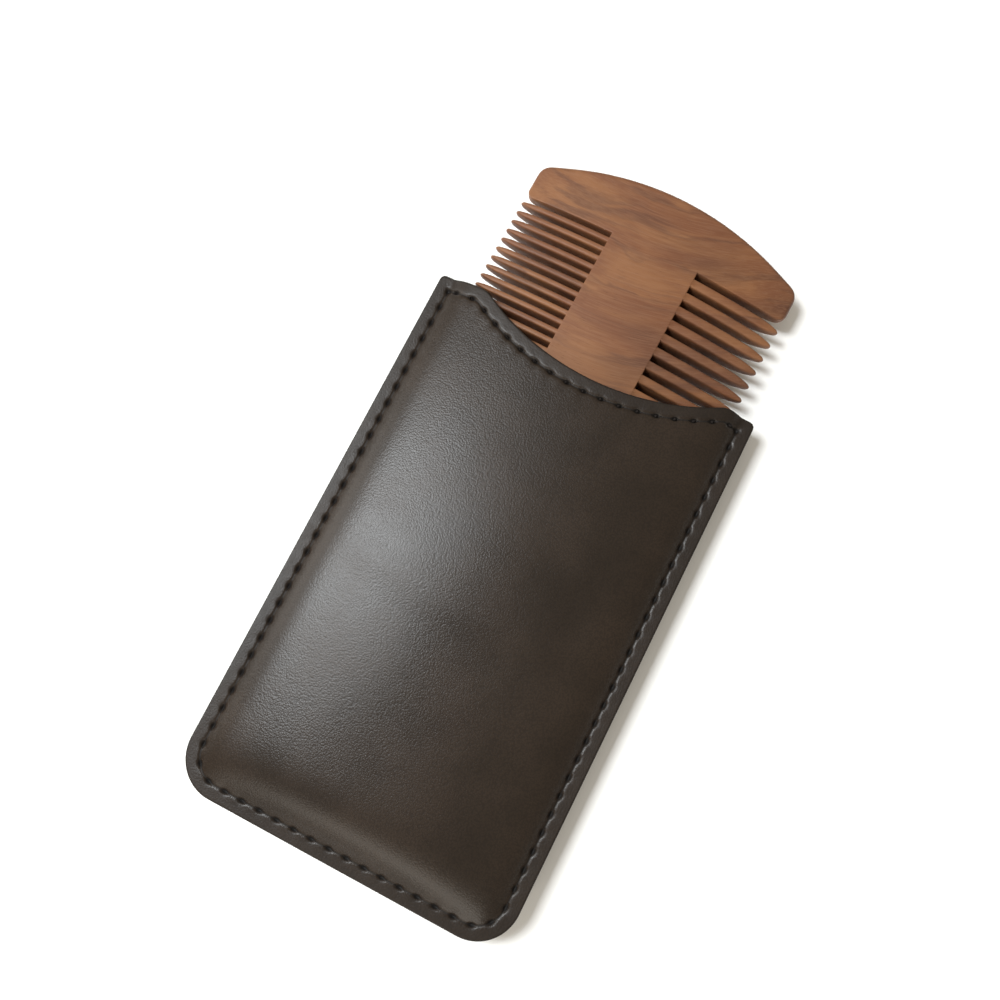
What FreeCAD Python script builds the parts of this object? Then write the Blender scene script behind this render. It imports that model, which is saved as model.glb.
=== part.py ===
import FreeCAD, Part
import math
import os

import Sketcher

# A double-sided wooden beard comb, half drawn out of its stitched leather sleeve.
# The origin is the middle of the sleeve's flat resting face. +Y points to the mouth, +Z goes up
# through the front panel and +X to the comb's coarse teeth. Lengths are in millimetres.

DIMENSIONS = [
    ("sleeve_width", 75.0, "outer width of the leather panels"),
    ("sleeve_height", 120.0, "from the bottom edge to the mouth's shoulders"),
    ("bottom_radius", 9.3, "rounded bottom corners of the panels"),
    ("top_radius", 1.2, "corners at the mouth"),
    ("notch_low", 51.8, "from the panel's middle up to the thumb notch's lowest point"),
    ("notch_shift", 2.0, "the notch stands this far right of the middle"),
    ("notch_radius", 53.0, "hollow arc of the notch"),
    ("shoulder_radius", 6.0, "round arcs that lead into the notch"),
    ("leather", 1.2, "thickness of an outer panel"),
    ("lining", 0.48, "thickness of a lining"),
    ("glue", 0.02, "film between a panel and its lining"),
    ("pocket_rise", 4.9, "half of the pocket's depth at its middle"),
    ("pocket_half_width", 34.1, "from the middle to where the linings meet"),
    ("pocket_floor", 56.4, "from the panel's middle down to where the linings meet"),
    ("pocket_crown", 0.6, "share of that depth lost towards the sides, over the comb's lens section"),
    ("pocket_side_flatness", 20.0, "exponent of the fall at the sides: more makes it steeper"),
    ("pocket_end_flatness", 8.0, "exponent of the fall at the closed end"),
    ("pocket_softness", 0.25, "how softly the bulge runs out into the flat rim"),
    ("pressed_flat", 0.1, "how much the back is flattened where it lies on a table"),
    ("seam_inset", 3.0, "from the panel's edge to the stitches"),
    ("stitch_pitch", 4.0, "from one needle hole to the next"),
    ("thread", 0.6, "diameter of the thread"),
    ("thread_bend", 0.45, "radius at which a stitch turns down into its hole"),
    ("thread_proud", 0.12, "how far a stitch stands out of the face"),
    ("thread_sunk", 0.1, "how deep the back's outer mouth stitches lie below the face"),
    ("thread_meet", 0.05, "from the end of a strand to the middle of what it holds together"),
    ("strand_gap", 0.1, "between the two strands in one needle hole"),
    ("comb_length", 100.0, "over the two arched ends"),
    ("comb_width", 63.2, "over the tips of the teeth"),
    ("comb_thickness", 8.6, "at the middle of the spine"),
    ("comb_edge", 1.15, "radius of the comb's thin long edges"),
    ("arch_radius", 84.0, "arched ends"),
    ("comb_corner", 3.3, "rounded corners of the guards"),
    ("spine_half", 10.2, "from the comb's middle line to the roots of the teeth"),
    ("fine_slots", 31, "gaps on the fine side"),
    ("fine_pitch", 2.355, "from one fine tooth to the next"),
    ("fine_slot", 1.17, "width of a fine gap"),
    ("fine_tip", 3.8, "length of a fine tooth's point"),
    ("fine_flare", 0.4, "how far that point draws in on each side"),
    ("fine_shift", 0.0, "middle of the fine row along the comb"),
    ("coarse_slots", 22, "gaps on the coarse side"),
    ("coarse_pitch", 3.44, "from one coarse tooth to the next"),
    ("coarse_slot", 1.45, "width of a coarse gap"),
    ("coarse_tip", 5.0, "length of a coarse tooth's point"),
    ("coarse_flare", 0.7, "how far that point draws in on each side"),
    ("coarse_shift", -0.35, "middle of the coarse row along the comb"),
    ("comb_x", 0.77, "middle of the half-drawn comb"),
    ("comb_y", 47.83, "middle of the half-drawn comb"),
    ("comb_tilt", 1.8, "degrees that the comb lies askew in its loose pocket"),
]
START, END, CENTRE = 1, 2, 3
ORIGIN, X_AXIS, Y_AXIS = -1, -1, -2
SEAM_PLANE = "sizes.pocket_rise + sizes.lining + sizes.glue + sizes.leather - sizes.pressed_flat"

Vector = FreeCAD.Vector
doc = FreeCAD.newDocument("beard_comb")


def make_sheet():
    sheet = doc.addObject("Spreadsheet::Sheet", "sizes")
    for row, (alias, value, note) in enumerate(DIMENSIONS, start=1):
        sheet.set(f"A{row}", alias)
        sheet.set(f"B{row}", str(value))
        sheet.set(f"C{row}", note)
        sheet.setAlias(f"B{row}", alias)
    doc.recompute()
    return {alias: float(sheet.get(alias)) for alias, _, _ in DIMENSIONS}


size = make_sheet()
seam_plane = (
    size["pocket_rise"] + size["lining"] + size["glue"] + size["leather"] - size["pressed_flat"]
)


# Sketches: the geometry is drawn near its place, then joined, aligned and driven by the sheet.


def origin_item(body, role):
    return next(item for item in body.Origin.OriginFeatures if item.Role == role)


def sketch_on(body, name, role):
    sketch = body.newObject("Sketcher::SketchObject", name)
    sketch.AttachmentSupport = [(origin_item(body, role), "")]
    sketch.MapMode = "FlatFace"
    return sketch


def line(sketch, start, end):
    return sketch.addGeometry(Part.LineSegment(Vector(*start, 0), Vector(*end, 0)))


def arc(sketch, centre, radius, first, last):
    """Runs anticlockwise from the angle first to the angle last, in degrees."""
    circle = Part.Circle(Vector(*centre, 0), Vector(0, 0, 1), radius)
    return sketch.addGeometry(Part.ArcOfCircle(circle, math.radians(first), math.radians(last)))


def constrain(sketch, kind, *where):
    return sketch.addConstraint(Sketcher.Constraint(kind, *where))


def drive(sketch, name, expression, kind, *where):
    """A dimension with a name, bound to the sheet; the last of where is its value as drawn."""
    sketch.renameConstraint(constrain(sketch, kind, *where), name)
    sketch.setExpression(f"Constraints.{name}", expression)


def join(sketch, kind, curves):
    """Joins each curve's end to the next curve's start, all the way round."""
    for here, after in zip(curves, curves[1:] + curves[:1]):
        constrain(sketch, kind, here, END, after, START)


# The comb: one board with a lens section, two arched guards and a row of teeth on each side.


def lens_centre():
    """How far the lens's big arcs have their centres beyond the comb's middle plane."""
    reach = size["comb_width"] / 2 - size["comb_edge"]
    rise = size["comb_thickness"] / 2 - size["comb_edge"]
    return (reach**2 - rise**2) / (2 * rise)


def draw_comb_outline(sketch):
    half_width, half_length = size["comb_width"] / 2, size["comb_length"] / 2
    arch, corner = size["arch_radius"], size["comb_corner"]
    arch_y = half_length - arch
    corner_x = half_width - corner
    corner_y = arch_y + math.sqrt((arch - corner) ** 2 - corner_x**2)
    lean = math.degrees(math.atan2(corner_x, corner_y - arch_y))

    right = line(sketch, (half_width, -corner_y), (half_width, corner_y))
    top_right = arc(sketch, (corner_x, corner_y), corner, 0, 90 - lean)
    top = arc(sketch, (0, arch_y), arch, 90 - lean, 90 + lean)
    top_left = arc(sketch, (-corner_x, corner_y), corner, 90 + lean, 180)
    left = line(sketch, (-half_width, corner_y), (-half_width, -corner_y))
    bottom_left = arc(sketch, (-corner_x, -corner_y), corner, 180, 270 - lean)
    bottom = arc(sketch, (0, -arch_y), arch, 270 - lean, 270 + lean)
    bottom_right = arc(sketch, (corner_x, -corner_y), corner, 270 + lean, 360)

    corners = [top_right, top_left, bottom_left, bottom_right]
    join(sketch, "Tangent", [right, top_right, top, top_left, left, bottom_left, bottom, bottom_right])
    for side in (left, right):
        constrain(sketch, "Vertical", side)
    for end in (top, bottom):
        constrain(sketch, "PointOnObject", end, CENTRE, Y_AXIS)
    for other in corners[1:]:
        constrain(sketch, "Equal", corners[0], other)
    constrain(sketch, "Equal", top, bottom)
    drive(sketch, "corner", "sizes.comb_corner", "Radius", corners[0], corner)
    drive(sketch, "arch", "sizes.arch_radius", "Radius", top, arch)
    half = "sizes.comb_width / 2"
    drive(sketch, "right", half, "DistanceX", ORIGIN, START, right, START, half_width)
    drive(sketch, "left", half, "DistanceX", left, START, ORIGIN, START, half_width)
    drop = "sizes.arch_radius - sizes.comb_length / 2"
    drive(sketch, "top", drop, "DistanceY", top, CENTRE, ORIGIN, START, -arch_y)
    drive(sketch, "bottom", drop, "DistanceY", ORIGIN, START, bottom, CENTRE, -arch_y)


def draw_lens_waste(sketch):
    """Everything outside the lens: a frame with the lens as its hole."""
    reach = size["comb_width"] / 2 - size["comb_edge"]
    edge, centre = size["comb_edge"], lens_centre()
    radius = size["comb_thickness"] / 2 + centre
    lean = math.degrees(math.atan2(reach, centre))
    face = arc(sketch, (0, -centre), radius, 90 - lean, 90 + lean)
    left = arc(sketch, (-reach, 0), edge, 90 + lean, 270 - lean)
    back = arc(sketch, (0, centre), radius, 270 - lean, 270 + lean)
    right = arc(sketch, (reach, 0), edge, lean - 90, 90 - lean)
    join(sketch, "Tangent", [face, left, back, right])
    constrain(sketch, "Equal", left, right)
    constrain(sketch, "Equal", face, back)
    for end in (left, right):
        constrain(sketch, "PointOnObject", end, CENTRE, X_AXIS)
    constrain(sketch, "PointOnObject", face, CENTRE, Y_AXIS)
    drive(sketch, "edge", "sizes.comb_edge", "Radius", right, edge)
    inner = "sizes.comb_width / 2 - sizes.comb_edge"
    drive(sketch, "reach", inner, "DistanceX", ORIGIN, START, right, CENTRE, reach)
    rise = "(sizes.comb_thickness / 2 - sizes.comb_edge)"
    depth = f"(({inner}) ^ 2 - {rise} ^ 2) / (2 * {rise})"
    drive(sketch, "depth", depth, "DistanceY", face, CENTRE, ORIGIN, START, centre)

    half_x, half_z = size["comb_width"] / 2 + 2, size["comb_thickness"] / 2 + 2
    points = [(half_x, -half_z), (half_x, half_z), (-half_x, half_z), (-half_x, -half_z)]
    frame = [line(sketch, a, b) for a, b in zip(points, points[1:] + points[:1])]
    join(sketch, "Coincident", frame)
    for upright, level in ((frame[0], frame[1]), (frame[2], frame[3])):
        constrain(sketch, "Vertical", upright)
        constrain(sketch, "Horizontal", level)
    wide, high = "sizes.comb_width / 2 + 2", "sizes.comb_thickness / 2 + 2"
    drive(sketch, "right", wide, "DistanceX", ORIGIN, START, frame[0], START, half_x)
    drive(sketch, "left", wide, "DistanceX", frame[2], START, ORIGIN, START, half_x)
    drive(sketch, "above", high, "DistanceY", ORIGIN, START, frame[1], START, half_z)
    drive(sketch, "below", high, "DistanceY", frame[3], START, ORIGIN, START, half_z)


def draw_slot(sketch, row, side):
    """The first gap of a row; it widens outwards, which points the teeth beside it."""
    root, outer = size["spine_half"], size["comb_width"] / 2
    half, tip, flare = size[f"{row}_slot"] / 2, size[f"{row}_tip"], size[f"{row}_flare"]
    first = size[f"{row}_shift"] - size[f"{row}_pitch"] * (size[f"{row}_slots"] - 1) / 2
    shoulder, beyond, wide = outer - tip, outer + 1, half + flare
    radius = (tip**2 + flare**2) / (2 * flare)
    swing = math.degrees(math.asin(tip / radius))

    points = [(beyond, wide), (outer, wide), (shoulder, half), (root, half)]
    below = [(side * x, first - y) for x, y in points]
    above = [(side * x, first + y) for x, y in points]
    back = line(sketch, above[3], below[3])
    lower = line(sketch, below[3], below[2])
    lower_out = line(sketch, below[1], below[0])
    mouth = line(sketch, below[0], above[0])
    upper_out = line(sketch, above[0], above[1])
    upper = line(sketch, above[2], above[3])
    centre_x = side * shoulder
    low_first, up_first = (90 - swing, 270) if side > 0 else (90, 270 - swing)
    lower_flare = arc(sketch, (centre_x, first - half - radius), radius, low_first, low_first + swing)
    upper_flare = arc(sketch, (centre_x, first + half + radius), radius, up_first, up_first + swing)

    # Seen along the outline, an arc's inner end is where it leaves the straight side of the gap.
    lower_in, lower_end = (END, START) if side > 0 else (START, END)
    upper_in, upper_end = (START, END) if side > 0 else (END, START)
    constrain(sketch, "Tangent", lower, END, lower_flare, lower_in)
    constrain(sketch, "Tangent", upper, START, upper_flare, upper_in)
    constrain(sketch, "Coincident", lower_flare, lower_end, lower_out, START)
    constrain(sketch, "Coincident", upper_flare, upper_end, upper_out, END)
    constrain(sketch, "Coincident", lower_out, END, mouth, START)
    constrain(sketch, "Coincident", mouth, END, upper_out, START)
    constrain(sketch, "Coincident", upper, END, back, START)
    constrain(sketch, "Coincident", back, END, lower, START)
    for level in (lower, lower_out, upper_out, upper):
        constrain(sketch, "Horizontal", level)
    for upright in (back, mouth):
        constrain(sketch, "Vertical", upright)

    def across(name, expression, curve, end, value):
        """A distance from the comb's middle line outwards."""
        ends = (ORIGIN, START, curve, end) if side > 0 else (curve, end, ORIGIN, START)
        drive(sketch, name, expression, "DistanceX", *ends, value)

    across("root", "sizes.spine_half", back, START, root)
    across("lower_shoulder", f"sizes.comb_width / 2 - sizes.{row}_tip", lower, END, shoulder)
    across("upper_shoulder", f"sizes.comb_width / 2 - sizes.{row}_tip", upper, START, shoulder)
    across("lower_rim", "sizes.comb_width / 2", lower_out, START, outer)
    across("upper_rim", "sizes.comb_width / 2", upper_out, END, outer)
    across("beyond", "sizes.comb_width / 2 + 1", mouth, START, beyond)
    drive(sketch, "gap", f"sizes.{row}_slot", "DistanceY", back, END, back, START, 2 * half)
    wide_gap = f"sizes.{row}_slot + 2 * sizes.{row}_flare"
    drive(sketch, "wide_gap", wide_gap, "DistanceY", mouth, START, mouth, END, 2 * wide)
    flare_out = f"sizes.{row}_flare"
    drive(sketch, "flare", flare_out, "DistanceY", upper, START, upper_out, END, flare)
    place = (
        f"sizes.{row}_pitch * (sizes.{row}_slots - 1) / 2 - sizes.{row}_shift + sizes.{row}_slot / 2"
    )
    drive(sketch, "place", place, "DistanceY", back, END, ORIGIN, START, half - first)


def cut_through(body, name, sketch):
    pocket = body.newObject("PartDesign::Pocket", name)
    pocket.Profile = sketch
    pocket.Type = "ThroughAll"
    pocket.SideType = "Symmetric"
    return pocket


def cut_teeth(body, row, side):
    sketch = sketch_on(body, f"{row}_gap", "XY_Plane")
    draw_slot(sketch, row, side)
    gap = cut_through(body, f"{row}_cut", sketch)
    doc.recompute()
    pattern = body.newObject("PartDesign::LinearPattern", f"{row}_row")
    pattern.Originals = [gap]
    pattern.Direction = (origin_item(body, "Y_Axis"), [""])
    pattern.setExpression("Length", f"sizes.{row}_pitch * (sizes.{row}_slots - 1)")
    pattern.setExpression("Occurrences", f"sizes.{row}_slots")
    body.Tip = pattern
    doc.recompute()


def make_comb():
    body = doc.addObject("PartDesign::Body", "comb")
    outline = sketch_on(body, "comb_outline", "XY_Plane")
    draw_comb_outline(outline)
    board = body.newObject("PartDesign::Pad", "board")
    board.Profile = outline
    board.SideType = "Symmetric"
    board.setExpression("Length", "sizes.comb_thickness + 2")
    waste = sketch_on(body, "lens_waste", "XZ_Plane")
    draw_lens_waste(waste)
    cut_through(body, "lens", waste)
    doc.recompute()
    cut_teeth(body, "fine", side=-1)
    cut_teeth(body, "coarse", side=1)
    body.Placement.Rotation = FreeCAD.Rotation(Vector(0, 0, -1), size["comb_tilt"])
    body.setExpression("Placement.Base.x", "sizes.comb_x")
    body.setExpression("Placement.Base.y", "sizes.comb_y")
    body.setExpression("Placement.Base.z", SEAM_PLANE)
    return body


# The sleeve: on each side a leather panel and its lining, bulged over the pocket.


def draw_panel_outline(sketch):
    half_width, half_height = size["sleeve_width"] / 2, size["sleeve_height"] / 2
    low, small = size["bottom_radius"], size["top_radius"]
    notch, shoulder, shift = size["notch_radius"], size["shoulder_radius"], size["notch_shift"]
    notch_y, shoulder_y = size["notch_low"] + notch, half_height - shoulder
    spread = math.sqrt((notch + shoulder) ** 2 - (notch_y - shoulder_y) ** 2)
    lean = math.degrees(math.asin(spread / (notch + shoulder)))
    right_x, left_x = shift + spread, shift - spread
    inner_x, inner_y = half_width - low, -half_height + low

    bottom = line(sketch, (-inner_x, -half_height), (inner_x, -half_height))
    low_right = arc(sketch, (inner_x, inner_y), low, 270, 360)
    right = line(sketch, (half_width, inner_y), (half_width, half_height - small))
    top_right = arc(sketch, (half_width - small, half_height - small), small, 0, 90)
    right_lip = line(sketch, (half_width - small, half_height), (right_x, half_height))
    right_shoulder = arc(sketch, (right_x, shoulder_y), shoulder, 90, 90 + lean)
    hollow = arc(sketch, (shift, notch_y), notch, 270 - lean, 270 + lean)
    left_shoulder = arc(sketch, (left_x, shoulder_y), shoulder, 90 - lean, 90)
    left_lip = line(sketch, (left_x, half_height), (small - half_width, half_height))
    top_left = arc(sketch, (small - half_width, half_height - small), small, 90, 180)
    left = line(sketch, (-half_width, half_height - small), (-half_width, inner_y))
    low_left = arc(sketch, (-inner_x, inner_y), low, 180, 270)

    around = [bottom, low_right, right, top_right, right_lip, right_shoulder]
    for here, after in zip(around, around[1:]):
        constrain(sketch, "Tangent", here, END, after, START)
    constrain(sketch, "Tangent", right_shoulder, END, hollow, END)
    constrain(sketch, "Tangent", hollow, START, left_shoulder, START)
    around = [left_shoulder, left_lip, top_left, left, low_left, bottom]
    for here, after in zip(around, around[1:]):
        constrain(sketch, "Tangent", here, END, after, START)
    for level in (bottom, right_lip, left_lip):
        constrain(sketch, "Horizontal", level)
    for upright in (left, right):
        constrain(sketch, "Vertical", upright)
    for first, second in ((low_right, low_left), (top_right, top_left), (right_shoulder, left_shoulder)):
        constrain(sketch, "Equal", first, second)
    drive(sketch, "low_radius", "sizes.bottom_radius", "Radius", low_right, low)
    drive(sketch, "top_radius", "sizes.top_radius", "Radius", top_right, small)
    drive(sketch, "shoulder", "sizes.shoulder_radius", "Radius", right_shoulder, shoulder)
    drive(sketch, "notch", "sizes.notch_radius", "Radius", hollow, notch)
    wide, high = "sizes.sleeve_width / 2", "sizes.sleeve_height / 2"
    drive(sketch, "right", wide, "DistanceX", ORIGIN, START, right, START, half_width)
    drive(sketch, "left", wide, "DistanceX", left, START, ORIGIN, START, half_width)
    drive(sketch, "bottom", high, "DistanceY", bottom, START, ORIGIN, START, half_height)
    drive(sketch, "right_lip", high, "DistanceY", ORIGIN, START, right_lip, START, half_height)
    drive(sketch, "left_lip", high, "DistanceY", ORIGIN, START, left_lip, START, half_height)
    drive(sketch, "shift", "sizes.notch_shift", "DistanceX", ORIGIN, START, hollow, CENTRE, shift)
    rise = "sizes.notch_low + sizes.notch_radius"
    drive(sketch, "rise", rise, "DistanceY", ORIGIN, START, hollow, CENTRE, notch_y)


def pocket_half_depth(x, y):
    """Half the gap between the linings: crowned over the comb, and closed at the sides and bottom."""
    reach, floor = size["pocket_half_width"], size["pocket_floor"]
    across = abs(x) / reach
    down = max(0.0, (reach - floor - y) / reach)
    fall = 1 - across ** size["pocket_side_flatness"] - down ** size["pocket_end_flatness"]
    crowned = size["pocket_rise"] * (1 - size["pocket_crown"] * across**2)
    return max(0.0, crowned) * (fall + math.hypot(fall, size["pocket_softness"])) / 2


def make_field(name, side):
    """The lining's pocket face as one smooth surface; side is 1 in front and -1 behind."""
    columns, rows, margin = 57, 49, 2.0
    half_width = size["sleeve_width"] / 2 + margin
    length = size["sleeve_height"] + 2 * margin
    grid = []
    for row in range(rows):
        # The stations crowd towards the closed edges, where the surface turns most.
        y = length * (0.5 - math.cos(math.pi / 2 * row / (rows - 1)))
        across = [math.sin(math.pi * (column / (columns - 1) - 0.5)) for column in range(columns)]
        points = [(half_width * turn, y) for turn in across]
        grid.append([Vector(x, y, side * pocket_half_depth(x, y)) for x, y in points])
    surface = Part.BSplineSurface()
    surface.interpolate(grid)
    field = doc.addObject("Part::Feature", name)
    field.Shape = surface.toShape()
    return field


def make_layer(name, field, outline, side, inner, thickness):
    """A sheet of the sleeve: the field moved out by inner, thickened, and cut to the outline."""
    sheet_blank = doc.addObject("Part::Extrusion", f"{name}_blank")
    sheet_blank.Base = field
    sheet_blank.DirMode = "Custom"
    sheet_blank.Dir = Vector(0, 0, side)
    sheet_blank.Solid = True
    sheet_blank.setExpression("LengthFwd", thickness)
    sign = "+" if side > 0 else "-"
    sheet_blank.setExpression("Placement.Base.z", f"{SEAM_PLANE} {sign} ({inner})")
    layer = doc.addObject("Part::Common", name)
    layer.Base = sheet_blank
    layer.Tool = outline
    return layer


def make_sleeve():
    sketch = doc.addObject("Sketcher::SketchObject", "panel_outline")
    draw_panel_outline(sketch)
    outline = doc.addObject("Part::Extrusion", "panel_block")
    outline.Base = sketch
    outline.DirMode = "Custom"
    outline.Dir = Vector(0, 0, 1)
    outline.Solid = True
    # The block starts at the resting face, so it also presses the back's bulge flat.
    outline.setExpression("LengthFwd", f"2 * ({SEAM_PLANE}) + 2 * sizes.pressed_flat")
    layers = []
    for part_of, side in (("front", 1), ("back", -1)):
        field = make_field(f"{part_of}_field", side)
        layers.append(make_layer(f"{part_of}_lining", field, outline, side, "0", "sizes.lining"))
        inner = "sizes.lining + sizes.glue"
        layers.append(
            make_layer(f"{part_of}_outer_leather", field, outline, side, inner, "sizes.leather")
        )
    doc.recompute()
    return sketch, layers


# The threads: lockstitches, each a short strand on the face with its two ends down the holes.


def make_stitch(name, leg, leg_size):
    """One strand: its middle lies along X at height 0 and its legs go down."""
    body = doc.addObject("PartDesign::Body", name)
    half = (size["stitch_pitch"] - size["strand_gap"]) / 2
    thick, bend = size["thread"], size["thread_bend"]
    inner, top = half - thick, thick / 2
    side = sketch_on(body, f"{name}_side", "XZ_Plane")
    left = line(side, (-half, -leg_size), (-half, top - bend))
    first = arc(side, (bend - half, top - bend), bend, 90, 180)
    over = line(side, (bend - half, top), (half - bend, top))
    second = arc(side, (half - bend, top - bend), bend, 0, 90)
    right = line(side, (half, top - bend), (half, -leg_size))
    right_foot = line(side, (half, -leg_size), (inner, -leg_size))
    right_inner = line(side, (inner, -leg_size), (inner, -top))
    under = line(side, (inner, -top), (-inner, -top))
    left_inner = line(side, (-inner, -top), (-inner, -leg_size))
    left_foot = line(side, (-inner, -leg_size), (-half, -leg_size))
    constrain(side, "Tangent", left, END, first, END)
    constrain(side, "Tangent", first, START, over, START)
    constrain(side, "Tangent", over, END, second, END)
    constrain(side, "Tangent", second, START, right, START)
    chain = [right, right_foot, right_inner, under, left_inner, left_foot, left]
    for one, following in zip(chain, chain[1:]):
        constrain(side, "Coincident", one, END, following, START)
    constrain(side, "Equal", first, second)
    for upright in (left, right, right_inner, left_inner):
        constrain(side, "Vertical", upright)
    for level in (right_foot, under, left_foot):
        constrain(side, "Horizontal", level)
    drive(side, "bend", "sizes.thread_bend", "Radius", first, bend)
    reach = "(sizes.stitch_pitch - sizes.strand_gap) / 2"
    drive(side, "left", reach, "DistanceX", left, START, ORIGIN, START, half)
    drive(side, "right", reach, "DistanceX", ORIGIN, START, right, END, half)
    drive(side, "left_thick", "sizes.thread", "DistanceX", left_foot, END, left_foot, START, thick)
    drive(side, "right_thick", "sizes.thread", "DistanceX", right_foot, END, right_foot, START, thick)
    drive(side, "top", "sizes.thread / 2", "DistanceY", ORIGIN, START, over, START, top)
    drive(side, "under", "sizes.thread / 2", "DistanceY", under, START, ORIGIN, START, top)
    drive(side, "left_leg", leg, "DistanceY", left, START, ORIGIN, START, leg_size)
    drive(side, "right_leg", leg, "DistanceY", right, END, ORIGIN, START, leg_size)
    strand = body.newObject("PartDesign::Pad", f"{name}_strand")
    strand.Profile = side
    strand.SideType = "Symmetric"
    strand.setExpression("Length", "sizes.thread")
    doc.recompute()
    return body


def seam_lines(outline):
    """The closed edges' seam and the mouth's seam, as wires at the sleeve's middle plane."""
    inset = outline.Shape.makeOffset2D(-size["seam_inset"], 0, False, False)
    top = size["sleeve_height"] / 2 - size["seam_inset"]
    side = size["sleeve_width"] / 2 - size["seam_inset"]
    mouth, closed = [], []
    for edge in inset.Edges:
        middle = edge.valueAt((edge.FirstParameter + edge.LastParameter) / 2)
        at_mouth = middle.y > size["notch_low"] / 2 and abs(middle.x) < side - 0.01
        (mouth if at_mouth and middle.y <= top + 0.01 else closed).append(edge)
    return [Part.Wire(Part.sortEdges(edges)[0]) for edges in (closed, mouth)]


def face_height(x, y, side, outside):
    """The height of a lining's pocket face, or of a leather panel's outer face."""
    height = pocket_half_depth(x, y)
    if outside:
        height += size["lining"] + size["glue"] + size["leather"]
    return max(0.0, seam_plane + side * height)


def make_seam(name, stitch, holes, side, outside, proud):
    """Copies of one stitch from hole to hole; side is which panel, outside is which face of it."""
    outward = Vector(0, 0, side if outside else -side)
    lift = outward * (proud - size["thread"] / 2)
    strands = []
    for first, last in zip(holes, holes[1:]):
        ends = [Vector(p.x, p.y, face_height(p.x, p.y, side, outside)) for p in (first, last)]
        middle = (first + last) / 2
        height = face_height(middle.x, middle.y, side, outside)
        along = (ends[1] - ends[0]).normalize()
        normal = (outward - along * outward.dot(along)).normalize()
        turn = FreeCAD.Rotation(along, normal.cross(along), normal, "XZY")
        strand = stitch.Shape.copy()
        strand.Placement = FreeCAD.Placement(Vector(middle.x, middle.y, height) + lift, turn)
        strands.append(strand)
    seam = doc.addObject("Part::Feature", name)
    seam.Shape = Part.makeCompound(strands)
    return seam


def make_threads(outline):
    closed, mouth = seam_lines(outline)
    pitch, proud, sunk = size["stitch_pitch"], size["thread_proud"], -size["thread_sunk"]
    closed_holes = closed.discretize(Number=round(closed.Length / pitch) + 1)
    # The mouth's first and last holes stand half a stitch clear of the corners.
    mouth_holes = mouth.discretize(Number=2 * round(mouth.Length / pitch) + 1)[1::2]
    # A leg ends where it meets the other thread: at the seam plane, or midway through one panel.
    # The legs in the back are shorter, as the table presses that panel flat.
    panel = "sizes.lining + sizes.glue + sizes.leather"
    panel_size = size["lining"] + size["glue"] + size["leather"]
    used = "(sizes.thread / 2 - sizes.thread_proud + sizes.thread_meet)"
    used_size = size["thread"] / 2 - size["thread_proud"] + size["thread_meet"]
    sunk_used = "(sizes.thread / 2 + sizes.thread_sunk + sizes.thread_meet)"
    sunk_used_size = size["thread"] / 2 + size["thread_sunk"] + size["thread_meet"]
    deep = make_stitch("deep_stitch", f"{panel} - {used}", panel_size - used_size)
    shallow = make_stitch("shallow_stitch", f"({panel}) / 2 - {used}", panel_size / 2 - used_size)
    low = make_stitch("sunk_stitch", f"({panel}) / 2 - {sunk_used}", panel_size / 2 - sunk_used_size)
    return [
        make_seam("side_seam_needle_thread", deep, closed_holes, 1, True, proud),
        make_seam("side_seam_bobbin_thread", deep, closed_holes, -1, True, proud),
        make_seam("front_mouth_needle_thread", shallow, mouth_holes, 1, True, proud),
        make_seam("front_mouth_bobbin_thread", shallow, mouth_holes, 1, False, proud),
        make_seam("back_mouth_needle_thread", low, mouth_holes, -1, True, sunk),
        make_seam("back_mouth_bobbin_thread", low, mouth_holes, -1, False, proud),
    ]


def check(parts):
    for item in doc.Objects:
        faults = {"Invalid", "Error"} & set(item.State)
        if faults:
            raise RuntimeError(f"{item.Label} failed: {faults}")
    for part in parts:
        if part.Shape.isNull() or not part.Shape.isValid() or not part.Shape.Solids:
            raise RuntimeError(f"{part.Label} has no sound solid")


comb = make_comb()
outline, layers = make_sleeve()
threads = make_threads(outline)
parts = [comb, *layers, *threads]
doc.recompute()
check(parts)
os.makedirs("parts", exist_ok=True)
for part in parts:
    part.Shape.exportStep(f"parts/{part.Label}.step")
    box = part.Shape.BoundBox
    print(
        f"{part.Label}: {len(part.Shape.Solids)} solids, {part.Shape.Volume:.1f} mm3,"
        f" x {box.XMin:.2f} {box.XMax:.2f}, y {box.YMin:.2f} {box.YMax:.2f},"
        f" z {box.ZMin:.2f} {box.ZMax:.2f}"
    )
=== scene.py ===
import math
import bpy
import bmesh
import numpy as np
from mathutils import Matrix, Vector
from mathutils.geometry import delaunay_2d_cdt


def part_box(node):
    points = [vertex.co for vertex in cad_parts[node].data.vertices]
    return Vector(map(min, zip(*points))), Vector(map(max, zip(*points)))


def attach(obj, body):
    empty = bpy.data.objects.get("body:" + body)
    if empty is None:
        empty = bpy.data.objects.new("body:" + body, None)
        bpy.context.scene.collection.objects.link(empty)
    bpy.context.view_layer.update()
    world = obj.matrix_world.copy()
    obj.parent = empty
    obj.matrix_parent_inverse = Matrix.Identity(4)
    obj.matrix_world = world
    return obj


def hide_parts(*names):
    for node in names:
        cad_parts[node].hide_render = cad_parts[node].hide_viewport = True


# A wooden beard comb half drawn out of its stitched leather sleeve.
# Sizes in the dictionaries are millimetres; meshes are in metres, in the frame's own place.
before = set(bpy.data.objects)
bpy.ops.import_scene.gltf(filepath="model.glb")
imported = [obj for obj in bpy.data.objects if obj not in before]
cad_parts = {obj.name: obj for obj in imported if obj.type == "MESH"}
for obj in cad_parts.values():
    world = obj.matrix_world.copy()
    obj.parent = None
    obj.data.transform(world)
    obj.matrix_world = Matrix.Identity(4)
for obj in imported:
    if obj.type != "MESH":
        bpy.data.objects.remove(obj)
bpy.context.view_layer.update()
mm = 0.001
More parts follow.
